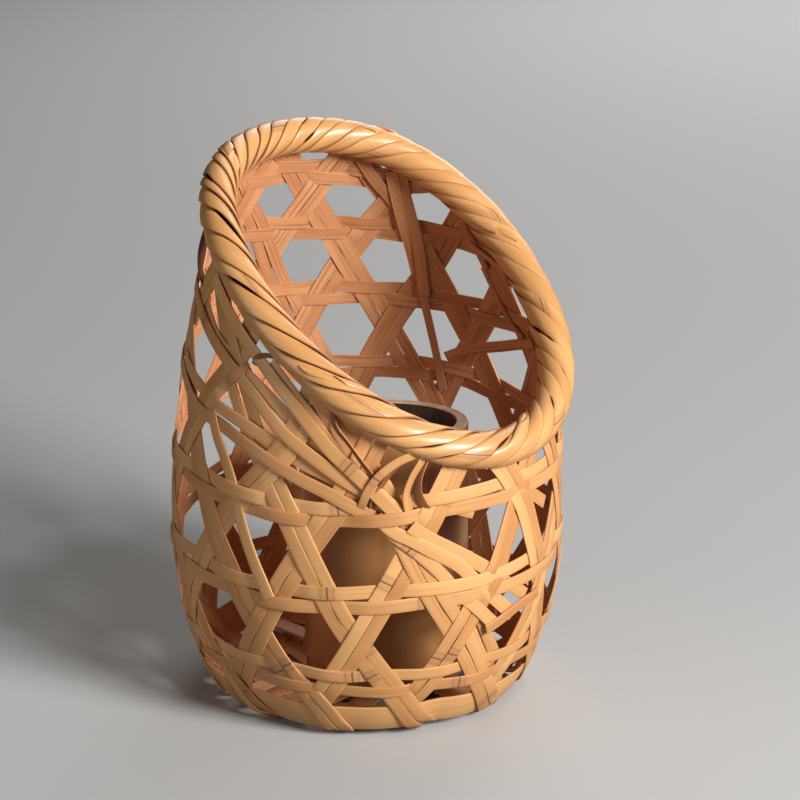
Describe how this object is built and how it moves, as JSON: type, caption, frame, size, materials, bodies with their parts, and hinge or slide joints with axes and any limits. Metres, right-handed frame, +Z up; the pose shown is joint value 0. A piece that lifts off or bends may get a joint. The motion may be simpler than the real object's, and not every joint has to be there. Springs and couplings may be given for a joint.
{
  "type": "bamboo flower basket",
  "caption": "Tall open-weave bamboo basket for flowers, with a slanted bound rim and a lift-out bamboo water tube standing inside.",
  "frame": {"origin": "on the floor plane, below the middle of the whole object's box; the basket's own middle line is 3.65 mm behind it along +Y", "axes": "+Z up along the basket's middle line; -Y towards the low side of the slanted mouth; +X to the right of that side seen from inside the basket looking up the slant, to the right hand of a viewer facing the low side"},
  "size_m": [0.1805, 0.1875, 0.251],
  "materials": {
    "splint": "smoked split bamboo, satin outer skin",
    "ring": "split bamboo, satin outer skin",
    "rim": "split bamboo, light and slightly glossy",
    "inner": "bare bamboo, matt",
    "tube": "whole bamboo stem, satin outside, dark lacquered inside"
  },
  "bodies": {
    "basket": {"long_splint_01_a": "splint", "long_splint_01_b": "splint", "long_splint_02_a": "splint", "long_splint_02_b": "splint", "long_splint_03_a": "splint", "long_splint_03_b": "splint", "long_splint_04_a": "splint", "long_splint_04_b": "splint", "long_splint_05_a": "splint", "long_splint_05_b": "splint", "long_splint_06_a": "splint", "long_splint_06_b": "splint", "long_splint_07_a": "splint", "long_splint_07_b": "splint", "long_splint_08_a": "splint", "long_splint_08_b": "splint", "long_splint_09_a": "splint", "long_splint_09_b": "splint", "long_splint_10_a": "splint", "long_splint_10_b": "splint", "long_splint_11_a": "splint", "long_splint_11_b": "splint", "long_splint_12_a": "splint", "long_splint_12_b": "splint", "ring_1_lower": "ring", "ring_1_upper": "ring", "ring_2_lower": "ring", "ring_2_upper": "ring", "ring_3_lower": "ring", "ring_3_upper": "ring", "ring_4_lower": "ring", "ring_4_upper": "ring", "ring_5_lower": "ring", "ring_5_upper": "ring", "ring_6_lower": "ring", "ring_6_upper": "ring", "base_band": "ring", "inserted_splint_1": "splint", "inserted_splint_2": "splint", "inserted_splint_3": "splint", "inserted_splint_4": "splint", "inserted_splint_5": "splint", "inserted_splint_6": "splint", "inserted_splint_7": "splint", "inserted_splint_8": "splint", "inserted_splint_9": "splint", "inserted_splint_10": "splint", "rim_tie_1": "rim", "rim_tie_2": "rim", "rim_tie_3": "rim", "base_stiffener_1": "inner", "base_stiffener_2": "inner", "base_stiffener_3": "inner", "rim_core": "inner", "rim_wrap_1": "rim", "rim_wrap_2": "rim", "rim_wrap_3": "rim", "rim_wrap_4": "rim"},
    "water_tube": {"water_tube": "tube"}
  },
  "joints": [
    {"name": "tube_lift", "type": "slide", "parent": "basket", "child": "water_tube", "axis": [0, 0, 1], "range_m": [0, 0.25]}
  ]
}
